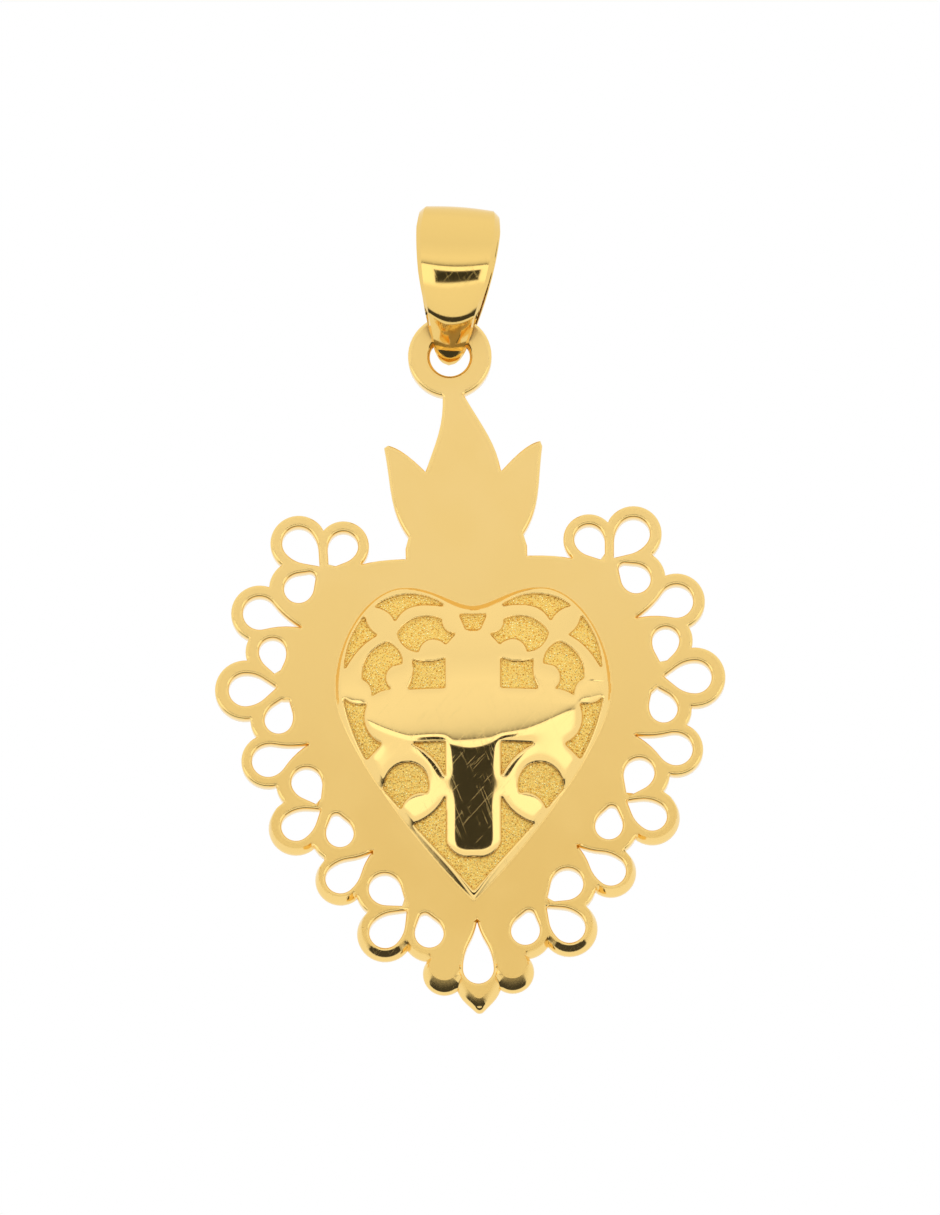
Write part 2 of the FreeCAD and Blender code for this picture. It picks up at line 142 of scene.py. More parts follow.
# Painted shade: a dark brown line is painted along the walls of the sunk grounds, where shade falls.
wall_painted_shade = ground * (1.0 - ground) * 3.0
colour = wall_painted_shade.blend(colour, wall_painted_shade_colour)
roughness = wire.maths("MULTIPLY_ADD", polish, polish_gain, satin_roughness)
roughness = roughness + ground * 0.14 + scratches * polish * 0.08 + grain * 0.05
stipple = (pits * 0.8 + lumps) * ground * stipple_depth
relief = stipple + grain * (1.0 - polish) * grain_depth + scratches * polish * scratch_depth
normal = wire.node("ShaderNodeBump", named={"Strength": 1.0, "Distance": 1.0, "Height": relief})
surface = wire.node("ShaderNodeBsdfPrincipled", named={"Base Color": colour, "Metallic": 1.0,
                                                       "Roughness": roughness, "Normal": normal})
wire.node("ShaderNodeOutputMaterial", surface)

# The node's mesh gives the plate's outline, its piercings and the bevels filed under its lobes.
MM = 0.001
sheet_thick = 0.85 * MM
eyelet_rise = 16.82 * MM
eyelet_radius = 2.1 * MM
bore_radius = 1.0 * MM
node_mesh = frame["nodes"]["heart_plate"].data
node_mesh.calc_loop_triangles()
node_points = np.zeros(len(node_mesh.vertices) * 3)
node_mesh.vertices.foreach_get("co", node_points)
node_points = node_points.reshape(-1, 3)
node_faces = np.zeros(len(node_mesh.loop_triangles) * 3, dtype=int)
node_mesh.loop_triangles.foreach_get("vertices", node_faces)
node_faces = node_faces.reshape(-1, 3)
_, unlike, alike = np.unique(np.round(node_points * 1e7).astype(int), axis=0, return_index=True,
                             return_inverse=True)
node_points = node_points[unlike]
node_faces = alike.ravel()[node_faces]
node_faces = node_faces[(node_faces != np.roll(node_faces, 1, axis=1)).all(axis=1)]
skin = BVHTree.FromPolygons(node_points.tolist(), node_faces.tolist())
sheet_back = node_points[:, 1].max()
sheet_front = sheet_back - sheet_thick
middle = Vector((0.5 * (node_points[:, 0].min() + node_points[:, 0].max()), sheet_front,
                 node_points[:, 2].max() - eyelet_rise - eyelet_radius))


def borders(faces):
    """Closed loops of the edges that only one of the faces has."""
    sides = {}
    for face in faces:
        for start, end in zip(face, np.roll(face, -1)):
            sides[(int(start), int(end))] = True
    after = {}
    for start, end in sides:
        if (end, start) not in sides:
            after.setdefault(start, []).append(end)
    loops = []
    while after:
        loop = [next(iter(after))]
        while True:
            ends = after[loop[-1]]
            ahead = ends.pop()
            if not ends:
                del after[loop[-1]]
            if ahead == loop[0]:
                break
            loop.append(ahead)
        loops.append(np.array(loop))
    return loops


def area(loop):
    """Area of an outline, positive where it runs anticlockwise."""
    ahead = np.roll(loop, -1, axis=0)
    return 0.5 * (loop[:, 0] * ahead[:, 1] - ahead[:, 0] * loop[:, 1]).sum()


def flat_loops(level):
    """Outlines of the node's flat face at one depth, the metal on their left, seen from the front."""
    flat = np.abs(node_points[node_faces, 1] - level).max(axis=1) < 2e-7
    loops = [node_points[loop][:, (0, 2)] for loop in borders(node_faces[flat])]
    loops.sort(key=lambda loop: -abs(area(loop)))
    if area(loops[0]) < 0:
        loops = [loop[::-1] for loop in loops]
    return loops


def spaced(loop, gap):
    """The loop without points that crowd each other, and with its longest runs divided."""
    kept = []
    for point, ahead in zip(loop, np.roll(loop, -1, axis=0)):
        length = np.hypot(*(ahead - point))
        if length > 0.2 * gap:
            parts = math.ceil(length / gap)
            kept += [point + (ahead - point) * i / parts for i in range(parts)]
    return np.array(kept)


def inward(loop):
    """Directions from an outline into the metal, stretched at its corners."""
    ahead = np.roll(loop, -1, axis=0) - loop
    ahead /= np.hypot(ahead[:, 0], ahead[:, 1])[:, None]
    both = ahead + np.roll(ahead, 1, axis=0)
    side = np.stack([-both[:, 1], both[:, 0]], axis=1)
    length = np.hypot(side[:, 0], side[:, 1])[:, None]
    return side / length * np.minimum(2.0 / length, 1.7)


def nearest_edge(points, loops):
    """Distance of each point from the nearest of the outlines, and where it is nearest."""
    starts = np.concatenate(loops)
    runs = np.concatenate([np.roll(loop, -1, axis=0) - loop for loop in loops])
    square = (runs ** 2).sum(axis=1)
    distances, spots = [], []
    for block in np.array_split(points, max(1, len(points) // 400)):
        along = np.clip(((block[:, None] - starts) * runs).sum(axis=2) / square, 0, 1)
        on_edge = starts + along[:, :, None] * runs
        away = ((block[:, None] - on_edge) ** 2).sum(axis=2)
        best = away.argmin(axis=1)
        rows = np.arange(len(block))
        distances.append(np.sqrt(away[rows, best]))
        spots.append(on_edge[rows, best])
    return np.concatenate(distances), np.concatenate(spots)


def within(points, loops):
    """Whether each point lies inside an odd number of the outlines."""
    crossings = np.zeros(len(points), dtype=int)
    for loop in loops:
        for start, end in zip(loop, np.roll(loop, -1, axis=0)):
            level = np.nonzero((start[1] > points[:, 1]) != (end[1] > points[:, 1]))[0]
            share = (points[level, 1] - start[1]) / (end[1] - start[1] if end[1] != start[1] else 1.0)
            crossings[level] += points[level, 0] < start[0] + share * (end[0] - start[0])
    return crossings % 2 == 1


def depth_at(points, side):
    """Depth of the node's surface at each (x, z), seen from the front (-1) or from the back (1)."""
    hits = [skin.ray_cast(Vector((x, 0.02 * side, z)), Vector((0, -side, 0)))[0] for x, z in points]
    return np.array([hit.y if hit else sheet_front for hit in hits])


# The stamped heart is drawn on a fine grid, in its own millimetres. Its crown is level along the
# middle and takes the heart's outline above; a crease that sags like a smile parts it from the
# lower half, which falls straight to the tip. Grid points beside the outline are put on it.
heart_half_width = 6.93
heart_lobe_top = 5.25
heart_cleft = 4.3
heart_tip = 10.8
flank_slope_low = 0.93
flank_slope_high = 1.7
rim_height = 0.2
crown_rise = 1.6
crown_peak = 0.0
crown_length = 20.0
crease_low = -3.2
crease_bend = 0.066
crease_shift = -0.6
lip_slope = 0.066
lip_width = 0.8
crease_round = 0.04
ground_depth = 0.2
arm_round = 0.1
arm_round_width = 0.2
wall_width = 0.05
crest_round = 0.05
heart_turn = math.radians(1.4)
heart_offset = (0.14, -0.33)
heart_x = middle.x + heart_offset[0] * MM
heart_z = middle.z + heart_offset[1] * MM
flank_levels = (-2, 3)
reach_blend = math.radians(12)
crease_limit = 0.98
wall_from = 0.22
wall_span = 0.56
step = 0.055
margin = 0.09
grid_room = 0.2


def bezier(*poles):
    """Points along the curve of four poles, without its end."""
    t = np.linspace(0, 1, 60, endpoint=False)[:, None]
    a, b, c, d = (np.array(pole) for pole in poles)
    return a * (1 - t) ** 3 + 3 * b * t * (1 - t) ** 2 + 3 * c * t ** 2 * (1 - t) + d * t ** 3


def arc(start, via, end):
    """Points along the circle through three points."""
    a, b, c = (complex(*point) for point in (start, via, end))
    tilt = (c - a) / (b - a)
    centre = a + (b - a) * (tilt - abs(tilt) ** 2) / (2j * tilt.imag)
    turn = np.angle((c - centre) / (a - centre)) % math.tau
    if np.angle((b - centre) / (a - centre)) % math.tau > turn:
        turn -= math.tau
    ring = centre + (a - centre) * np.exp(1j * turn * np.linspace(0, 1, 24, endpoint=False))
    return np.stack([ring.real, ring.imag], axis=1)


def outline(*strokes):
    """Closed outline of straight runs, arcs and curves, by the number of points that each gives."""
    draw = {2: lambda start, end: np.array([start]), 3: arc, 4: bezier}
    return np.concatenate([draw[len(stroke)](*stroke) for stroke in strokes])


lobe = (3.4, heart_lobe_top)
side = (heart_half_width, 0)
right_half = outline(((0, heart_cleft), (0.9, heart_cleft), (1.9, heart_lobe_top), lobe),
                     (lobe, (5.2, heart_lobe_top), (heart_half_width, 2.7), side),
                     (side, (heart_half_width, -2.6), (2.6, 2.6 - heart_tip), (0, -heart_tip)))
heart = np.concatenate([right_half, [(0, -heart_tip)], right_half[:0:-1] * (-1, 1)])
gx, gz = np.meshgrid(np.arange(-heart_half_width - grid_room, heart_half_width + grid_room, step),
                     np.arange(-heart_tip - grid_room, heart_lobe_top + grid_room, step), indexing="ij")
cells = np.stack([gx.ravel(), gz.ravel()], axis=1)
off_rim, on_rim = nearest_edge(cells, [heart])
beside = off_rim < 0.5 * step
cells[beside] = on_rim[beside]
rim_distance = np.where(beside, 0, off_rim * np.where(within(cells, [heart]), 1, -1))

directions = np.radians(np.arange(-180, 181))
heart_angle = np.arctan2(heart[:, 1] - crown_peak, heart[:, 0])
heart_reach = np.hypot(heart[:, 0], heart[:, 1] - crown_peak)
apart = np.abs((heart_angle - directions[:, None] + math.pi) % math.tau - math.pi)
weight = np.clip(1 - apart / reach_blend, 0, None)
smooth_reach = (weight * heart_reach).sum(axis=1) / weight.sum(axis=1)
across = cells[:, 0]
rise = cells[:, 1] - crown_peak
reach = np.interp(np.arctan2(rise, across), directions, smooth_reach)
away = np.maximum(np.hypot(across, rise), 1e-6)


def crown(across, rise, share):
    """Height over the rim of the upper crown, carried on below the crease."""
    along = rise / np.where(rise > 0, heart_cleft + 0.2 - crown_peak, crown_length)
    oval = along ** 2 + (across / heart_half_width) ** 2
    upper = np.clip(1 + rise, 0, 1)
    upper = upper * upper * (3 - 2 * upper)
    return crown_rise * (1 - oval - (share ** 2 - oval) * np.minimum(share, 1) ** 2 * upper)


ray_x, ray_z = across / away, rise / away
against = -ray_z - 2 * crease_bend * crease_shift * ray_x
drop = crown_peak - crease_low - crease_bend * crease_shift ** 2
root = np.sqrt(against ** 2 + 4 * crease_bend * ray_x ** 2 * drop)
to_crease = 2 * drop / np.maximum(against + root, 1e-6)
crease_share = to_crease / reach
at_crease = crown(ray_x * to_crease, ray_z * to_crease, crease_share)
at_crease -= lip_slope * lip_width * np.clip(2 - 2 * crease_share, 0, 1)
falling = at_crease * (1 - away / reach) / (1 - np.minimum(crease_share, crease_limit))
over_crease = cells[:, 1] - crease_low - crease_bend * (across - crease_shift) ** 2
lip = np.exp(-np.maximum(over_crease, 0) / lip_width) * np.clip(2 - 2 * away / reach, 0, 1)
level = crown(across, rise, away / reach) - lip_slope * lip_width * lip
falling = np.where(crease_share < crease_limit, falling, level + 1)
dome = 0.5 * (level + falling - np.sqrt((level - falling) ** 2 + crease_round ** 2)) + rim_height
flank = rim_distance * np.interp(cells[:, 1], flank_levels, (flank_slope_low, flank_slope_high))
height = 0.5 * (dome + flank - np.sqrt((dome - flank) ** 2 + crest_round ** 2))
height = np.maximum(height, 0).reshape(gx.shape)


def to_frame(points):
    """The heart's own millimetres, turned and put in the frame."""
    x = points[:, 0] * math.cos(heart_turn) + points[:, 1] * math.sin(heart_turn)
    z = points[:, 1] * math.cos(heart_turn) - points[:, 0] * math.sin(heart_turn)
    return np.stack([heart_x + x * MM, heart_z + z * MM], axis=1)


# Between the cross and the scrolls lie the sunk grounds: eight outlines on each side, one over
# the head and one round the foot. Nine looks per grid point keep their edges smooth.
ground_outlines = [
    outline(((4.95, 4.22), (3.2, 4.85), (1.37, 4.22)),
            ((1.37, 4.22), (2.4, 4.32), (3.45, 4.45), (3.9, 3.35)),
            ((3.9, 3.35), (4.15, 3.83), (4.95, 4.22))),
    outline(((5.4, 3.8), (6.12, 2.6), (6.45, 0.95)), ((6.45, 0.95), (6.1, 1.6), (5.6, 2.35), (4.75, 2.7)),
            ((4.75, 2.7), (5.18, 3.12), (5.4, 3.8))),
    outline(((3.78, 2.75), (2.95, 3.5), (1.53, 3.42)), ((1.53, 3.42), (1.45, 2.95), (0.83, 2.66)),
            ((0.83, 2.66), (1.36, 2.03)), ((1.36, 2.03), (1.95, 2.38), (2.7, 1.68)),
            ((2.7, 1.68), (3.4, 2.02), (3.78, 2.75))),
    outline(((4.3, 2.3), (5.28, 1.55), (5.53, 0.42)), ((5.53, 0.42), (5.17, 0.1), (5.08, -0.5)),
            ((5.08, -0.5), (4.6, -0.24), (4.05, -0.2)), ((4.05, -0.2), (4.37, 0.48), (4.05, 1.02)),
            ((4.05, 1.02), (3.52, 1.1)), ((3.52, 1.1), (3.72, 1.8), (4.3, 2.3))),
    outline(((3.05, 1.3), (2.2, 1.14), (1.38, 1.33)), ((1.38, 1.33), (1.38, -0.23)),
            ((1.38, -0.23), (3.28, -0.23)), ((3.28, -0.23), (3.0, 0.55), (3.05, 1.3))),
    outline(((6.5, -0.42), (5.92, -0.82), (5.3, -0.85)), ((5.3, -0.85), (5.4, -1.95), (4.55, -2.88)),
            ((4.55, -2.88), (5.35, -3.58)), ((5.35, -3.58), (6.05, -2.05), (6.5, -0.42))),
    outline(((4.5, -5.06), (3.4, -3.88), (2.3, -5.41)), ((2.3, -5.41), (3.05, -5.45), (3.62, -6.12)),
            ((3.62, -6.12), (4.5, -5.06))),
    outline(((3.15, -2.96), (1.38, -2.96)), ((1.38, -2.96), (1.38, -4.73)),
            ((1.38, -4.73), (2.05, -3.68), (3.15, -2.96))),
]
foot_half = outline(((0, -8.6), (0.95, -8.42), (1.36, -7.85)), ((1.36, -7.85), (1.38, -5.53)),
                    ((1.38, -5.53), (2.05, -6.4), (3.02, -6.87)), ((3.02, -6.87), (0, -10.25)))
ground_outlines += [ground * (-1, 1) for ground in ground_outlines]
ground_outlines.append(np.concatenate([foot_half, [(0, -10.25)], foot_half[::-1] * (-1, 1)]))
ground_outlines.append(np.array([(-0.68, 3.74), (0.68, 3.74), (0.35, 2.86), (-0.35, 2.86)]))
sunk = np.zeros(len(cells))
for x_shift in (-step / 3, 0, step / 3):
    for z_shift in (-step / 3, 0, step / 3):
        sunk += within(cells + (x_shift, z_shift), ground_outlines) / 9


def blurred(field, width):
    """The grid's values, softened by a bell curve of this width in millimetres."""
    reach_cells = math.ceil(3 * width / step)
    taps = np.exp(-0.5 * (np.arange(-reach_cells, reach_cells + 1) * step / width) ** 2)
    taps /= taps.sum()
    for axis in (0, 1):
        field = np.apply_along_axis(lambda row: np.convolve(row, taps, mode="same"), axis, field)
    return field


sunk = sunk.reshape(gx.shape)
wall = np.clip((blurred(sunk, wall_width) - wall_from) / wall_span, 0, 1)
wall = wall * wall * (3 - 2 * wall)
height -= ground_depth * wall + arm_round * blurred(sunk, arm_round_width) * (1 - wall)
height = np.where(rim_distance.reshape(gx.shape) > 0, np.maximum(height, 0), 0)
keep = (rim_distance > -margin).reshape(gx.shape)
whole = keep[:-1, :-1] & keep[1:, :-1] & keep[:-1, 1:] & keep[1:, 1:]
used = np.zeros(gx.shape, dtype=bool)
for i, j in ((0, 0), (1, 0), (0, 1), (1, 1)):
    used[i:used.shape[0] - 1 + i, j:used.shape[1] - 1 + j] |= whole
number = -np.ones(gx.shape, dtype=int)
number[used] = np.arange(used.sum())
i, j = np.nonzero(whole)
heart_faces = np.stack([number[i, j], number[i + 1, j], number[i + 1, j + 1], number[i, j + 1]], axis=1)
heart_flat = to_frame(cells[used.ravel()])
heart_points = np.stack([heart_flat[:, 0], sheet_front - height[used] * MM, heart_flat[:, 1]], axis=1)
heart_ground = np.clip((wall[used] - 0.1) / 0.85, 0, 1)
heart_polish = np.clip(height[used] / 0.05, 0, 1) * (1 - heart_ground)
heart_border = max(borders(heart_faces), key=len)

# Both faces of the sheet are triangulated between rings that follow every edge, and each ring is
# set back by its distance from the edge, which rounds it. The front leaves room for the heart.
edge_gap = 0.16 * MM
front_round = 0.16 * MM
back_round = 0.10 * MM
hollow_gap = 0.4 * MM
hollow_area = 20 * MM ** 2
eyelet_floor = 14 * MM
bore_points = 56
ring_steps = (0.1, 0.28, 0.55, 1.0, 1.3)
ring_clear = 0.93
crease_clear = 1.1 * front_round
heart_clear = 0.1 * MM
probe_in = 0.012 * MM
least_thick = 0.3 * MM
brink_step = 0.05 * MM
lattice_clear = 0.25 * MM
polish_drop = 0.02 * MM
polish_edge = 1.15
sharp_from = math.radians(28)
back_loops = flat_loops(sheet_back)
hollow = next(loop for loop in back_loops[1:] if abs(area(loop)) > hollow_area)
eyelet_mouth = next(loop for loop in back_loops if loop[:, 1].min() > middle.z + eyelet_floor)
eyelet_middle = 0.5 * (eyelet_mouth.max(axis=0) + eyelet_mouth.min(axis=0))
turns = np.linspace(0, -math.tau, bore_points, endpoint=False)
bore = eyelet_middle + bore_radius * np.stack([np.cos(turns), np.sin(turns)], axis=1)
edges = [spaced(loop, edge_gap) for loop in back_loops
         if loop is not hollow and loop is not eyelet_mouth] + [bore]
rim = np.concatenate(edges)
rim_inward = np.concatenate([inward(loop) for loop in edges])


def links(loops, first=0):
    """Pairs of neighbouring point numbers round each loop."""
    found = []
    for loop in loops:
        found += [(first + i, first + (i + 1) % len(loop)) for i in range(len(loop))]
        first += len(loop)
    return found


def rings(radius):
    """Rings inside the edges, at the steps of the rounding, that stand clear of every other edge."""
    found = []
    for share in ring_steps:
        ring = rim + rim_inward * radius * share
        found.append(ring[nearest_edge(ring, edges)[0] > radius * share * ring_clear])
    return np.concatenate(found)


def rounding(distance, radius):
    """How far a rounded edge stands back at each distance from it."""
    inset = np.clip(radius - distance, 0, radius)
    return radius - np.sqrt(radius ** 2 - inset ** 2)


def triangulated(points, tied, open_loops):
    """Triangles between the points that lie in the metal, and each point's own place in the list.
    The outlines are rounded as the triangulation rounds its points, so no sliver is misjudged."""
    given = [Vector(point / MM) for point in points]
    spots, _, cells_found, sources, _, _ = delaunay_2d_cdt(given, tied, [], 0, 1e-6)
    spots = np.array([tuple(spot) for spot in spots])
    source = np.array([row[0] if row else -1 for row in sources])
    cells_found = np.array([cell for cell in cells_found if len(cell) == 3])
    rounded = [np.float32(loop / MM).astype(float) for loop in open_loops]
    metal = within(spots[cells_found].mean(axis=1), rounded)
    return spots * MM, source, cells_found[metal]


crease_loops = [spaced(loop, edge_gap) for loop in flat_loops(sheet_front)]
creases = np.concatenate(crease_loops)
heart_edge = heart_flat[heart_border]
creases = creases[(nearest_edge(creases, edges)[0] > crease_clear) & ~within(creases, [heart_edge])
                  & (nearest_edge(creases, [heart_edge])[0] > heart_clear)]
front = np.concatenate([rim, rings(front_round), creases, heart_edge])
front_ties = links(edges) + links([heart_edge], len(front) - len(heart_edge))
front_near = nearest_edge(front, edges)[0]
probe = front.copy()
probe[:len(rim)] += rim_inward * probe_in
front_depth = np.clip(depth_at(probe, -1), sheet_front, sheet_back - least_thick)
front_depth[-len(heart_edge):] = sheet_front
front_depth += rounding(front_near, front_round)

brink = spaced(hollow, hollow_gap)[::-1]
foot = brink + inward(brink) * brink_step
low, high = brink.min(axis=0), brink.max(axis=0)
lattice = np.meshgrid(np.arange(low[0], high[0], hollow_gap), np.arange(low[1], high[1], hollow_gap))
lattice = np.stack(lattice, -1).reshape(-1, 2)
lattice = lattice[within(lattice, [brink]) & (nearest_edge(lattice, [brink])[0] > lattice_clear)]
back = np.concatenate([rim, rings(back_round), brink, foot, lattice])
back_ties = links(edges) + links([brink, foot], len(back) - len(lattice) - 2 * len(brink))
back_depth = np.full(len(back), sheet_back)
deep = len(lattice) + len(foot)
back_depth[-deep:] = depth_at(back[-deep:], 1)
back_depth -= rounding(nearest_edge(back, edges)[0], back_round)

points = [heart_points]
faces = [tuple(face) for face in heart_faces.tolist()]
polish_at = [heart_polish]
total = len(heart_points)
rim_numbers = []
for flat, depth, ties, radius, holes, back_side in (
        (front, front_depth, front_ties, front_round, edges + [heart_edge], False),
        (back, back_depth, back_ties, back_round, edges, True)):
    spots, source, triangles = triangulated(flat, ties, holes)
    lost = source < 0
    source[lost] = [int(np.argmin(((flat - spot) ** 2).sum(axis=1))) for spot in spots[lost]]
    own = total + np.arange(len(spots))
    if not back_side:
        shared = source >= len(flat) - len(heart_edge)
        own[shared] = heart_border[source[shared] - (len(flat) - len(heart_edge))]
    place_of = dict(zip(source[~lost].tolist(), own[~lost].tolist()))
    rim_numbers.append([place_of.get(i, -1) for i in range(len(rim))])
    near = nearest_edge(flat, edges)[0][source]
    points.append(np.stack([spots[:, 0], depth[source], spots[:, 1]], axis=1))
    drop = (depth[source] - sheet_front) / polish_drop
    polish_at.append(np.clip(polish_edge - near / radius if back_side else drop, 0, 1))
    faces += [tuple(face[::-1] if back_side else face) for face in own[triangles].tolist()]
    total += len(spots)
for start, end in links(edges):
    wall_face = (rim_numbers[0][start], rim_numbers[1][start], rim_numbers[1][end], rim_numbers[0][end])
    if min(wall_face) >= 0:
        faces.append(wall_face)
points = np.concatenate(points)
polish_at = np.concatenate(polish_at)
taken = np.unique(np.concatenate([np.array(face) for face in faces]))
renumbered = -np.ones(len(points), dtype=int)
renumbered[taken] = np.arange(len(taken))
mesh = bpy.data.meshes.new("stamped_plate")
mesh.from_pydata(points[taken].tolist(), [], [[int(renumbered[i]) for i in face] for face in faces])
mesh.polygons.foreach_set("use_smooth", [True] * len(mesh.polygons))
mesh.set_sharp_from_angle(angle=sharp_from)
ends = np.zeros(len(mesh.edges) * 2, dtype=int)
mesh.edges.foreach_get("vertices", ends)
sharp = np.zeros(len(mesh.edges), dtype=bool)
mesh.attributes["sharp_edge"].data.foreach_get("value", sharp)
sharp &= ends.reshape(-1, 2).max(axis=1) >= len(heart_points)
mesh.attributes["sharp_edge"].data.foreach_set("value", sharp)
ground_at = np.zeros(len(points))
ground_at[:len(heart_points)] = heart_ground
mesh.attributes.new("polish", "FLOAT", "POINT").data.foreach_set("value", polish_at[taken])
mesh.attributes.new("ground", "FLOAT", "POINT").data.foreach_set("value", ground_at[taken])
mesh.materials.append(gold)
stamped_plate = bpy.data.objects.new("stamped_plate", mesh)
bpy.context.scene.collection.objects.link(stamped_plate)
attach(stamped_plate, "plate_body")
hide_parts("heart_plate")


# Stipple: the sunk grounds are punched all over with small grains, which glitter. Their colour is
# deeper, because the light that reaches the camera has met gold more than once.
grain_radius = 0.055 * MM
grain_spacing = 0.115 * MM
grain_seed = 7
grain_density = 3e8
grain_least = 0.6
grain_most = 1.15
grain_light = (1.0, 0.95, 0.5, 1)
grain_dark = (0.88, 0.52, 0.1, 1)
floor_from = 0.95
floor_faces = heart_faces[heart_ground[heart_faces].min(axis=1) > floor_from]
mesh = bpy.data.meshes.new("stipple_floor")
mesh.from_pydata(heart_points.tolist(), [], floor_faces.tolist())
stipple_floor = bpy.data.objects.new("stipple_floor", mesh)
bpy.context.scene.collection.objects.link(stipple_floor)

grain_gold = bpy.data.materials.new("grain_gold")
grain_gold.use_nodes = True
grain_gold.node_tree.nodes.clear()
wire = Wire(grain_gold.node_tree)
place = wire.node("ShaderNodeTexCoord", out=3)
tint = place.noise(9000.0).smooth(0.42, 0.58).blend(grain_light, grain_dark)
surface = wire.node("ShaderNodeBsdfPrincipled",
                    named={"Base Color": tint, "Metallic": 1.0, "Roughness": 0.22})
wire.node("ShaderNodeOutputMaterial", surface)

punch = bpy.data.node_groups.new("punched_stipple", "GeometryNodeTree")
punch.interface.new_socket(name="Ground", in_out="INPUT", socket_type="NodeSocketGeometry")
radius_input = punch.interface.new_socket(name="Grain radius", in_out="INPUT",
                                          socket_type="NodeSocketFloat")
spacing_input = punch.interface.new_socket(name="Spacing", in_out="INPUT", socket_type="NodeSocketFloat")
punch.interface.new_socket(name="Grains", in_out="OUTPUT", socket_type="NodeSocketGeometry")
wire = Wire(punch)
given = [wire.node("NodeGroupInput", out=i) for i in range(3)]
spots = wire.node("GeometryNodeDistributePointsOnFaces", distribute_method="POISSON",
                  named={"Mesh": given[0], "Distance Min": given[2], "Density Max": grain_density,
                         "Seed": grain_seed})
grain_shape = wire.node("GeometryNodeMeshIcoSphere", given[1], 1)
tumble = wire.node("FunctionNodeRandomValue", data_type="FLOAT_VECTOR",
                   named={0: (0, 0, 0), 1: (math.tau, math.tau, math.tau), "Seed": grain_seed})
growth = wire.node("FunctionNodeRandomValue", data_type="FLOAT_VECTOR",
                   named={0: (grain_least,) * 3, 1: (grain_most,) * 3, "Seed": grain_seed + 1})
grains = wire.node("GeometryNodeInstanceOnPoints",
                   named={"Points": spots, "Instance": grain_shape, "Rotation": tumble, "Scale": growth})
grains = wire.node("GeometryNodeRealizeInstances", grains)
grains = wire.node("GeometryNodeSetMaterial", grains, named={"Material": grain_gold})
wire.node("NodeGroupOutput", grains)

punching = stipple_floor.modifiers.new("punching", "NODES")
punching.node_group = punch
punching[radius_input.identifier] = grain_radius
punching[spacing_input.identifier] = grain_spacing
shown = stipple_floor.evaluated_get(bpy.context.evaluated_depsgraph_get())
mesh = bpy.data.meshes.new_from_object(shown)
bpy.data.objects.remove(stipple_floor)
mesh.polygons.foreach_set("use_smooth", [False] * len(mesh.polygons))
stippled_ground = bpy.data.objects.new("stippled_ground", mesh)
bpy.context.scene.collection.objects.link(stippled_ground)
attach(stippled_ground, "plate_body")


# The bail is a tapered strip of polished gold, folded to a loop through the eyelet. Its front leg
# is crowned, filed to a facet along each side, nipped inwards over the eyelet and cut straight
# where the thin tongue from the back leg meets it.
bail_crown = 6.05
bail_belly = 2.65
bail_foot = 1.93
strip_thick = 0.5
tongue_thick = 0.3
leg_end = 1.17
facet_from = 0.89
facet_middle = 0.945
facet_drop = 0.7
crown_columns = 23
inner_columns = 11
inner_share = 0.97
circle_pull = 0.5523
back_blend = 14
tongue_start = 0.02
tongue_share = 0.8
bail_lean = math.radians(5.9)
bail_tilt = math.radians(12)
bail_sharp_from = math.radians(24)
inner_crown = bail_crown - strip_thick
inner_depth = 2.1
crown_pull = circle_pull * inner_depth
belly_round = 1.25
nip_top = (-1.86, 0.72)
nip_end = (-1.71, 0.42)
nip_rise = 0.3
leg_inside = (-0.45, -0.88)
foot_inside = (0.15, tongue_thick - bail_foot)
front_belly = (-inner_depth, bail_belly)
back_belly = (inner_depth, bail_belly)
runs = [
    (2, bezier((0, inner_crown), (-crown_pull, inner_crown),
               (-inner_depth, bail_belly + belly_round), front_belly)),
    (1, bezier(front_belly, (-inner_depth, 1.9), (-1.98, 1.2), nip_top)),
    (10, bezier(nip_top, (-1.83, 0.60), (-1.79, 0.50), nip_end)),
    (2, bezier(nip_end, (-1.31, -0.04), (-0.89, -0.46), leg_inside)),
    (4, bezier(leg_inside, (-0.25, -1.2), (-0.15, foot_inside[1]), foot_inside)),
    (3, bezier(foot_inside, (1.2, foot_inside[1]), (inner_depth, 1.4), back_belly)),
    (2, bezier(back_belly, (inner_depth, bail_belly + belly_round),
               (crown_pull, inner_crown), (0, inner_crown))),
]
path = np.concatenate([run[::pace] for pace, run in runs])
belly_stations = len(runs[0][1][::runs[0][0]])
leg_stations = sum(len(run[::pace]) for pace, run in runs[:4])
tongue_stations = leg_stations + len(runs[4][1][::runs[4][0]])
ahead = np.roll(path, -1, axis=0) - np.roll(path, 1, axis=0)
ahead /= np.hypot(ahead[:, 0], ahead[:, 1])[:, None]
across = np.concatenate([[-1, -facet_middle], np.linspace(-facet_from, facet_from, crown_columns),
                         [facet_middle, 1], np.linspace(inner_share, -inner_share, inner_columns)])
outside = np.arange(len(across)) < len(across) - inner_columns
half_view = np.concatenate([[(1.70, bail_crown), (1.85, bail_crown - 0.05), (1.95, bail_crown - 0.15),
                             (2.0, bail_crown - 0.3)],
                            bezier((2.08, 4.9), (1.98, 3.0), (1.47, 0.6), (0.77, -leg_end)),
                            bezier((0.77, -leg_end), (0.6, -1.55), (0.42, -bail_foot), (0.02, -bail_foot)),
                            [(0.02, -bail_foot - 0.1)]])[::-1]
crowning_at = ((-bail_foot, 0.10), (-leg_end, 0.14), (0.6, 0.16), (bail_belly, 0.27), (4.3, 0.2),
               (bail_crown, 0.07))
nip_levels = (leg_inside[1], nip_end[1], nip_top[1], bail_belly)


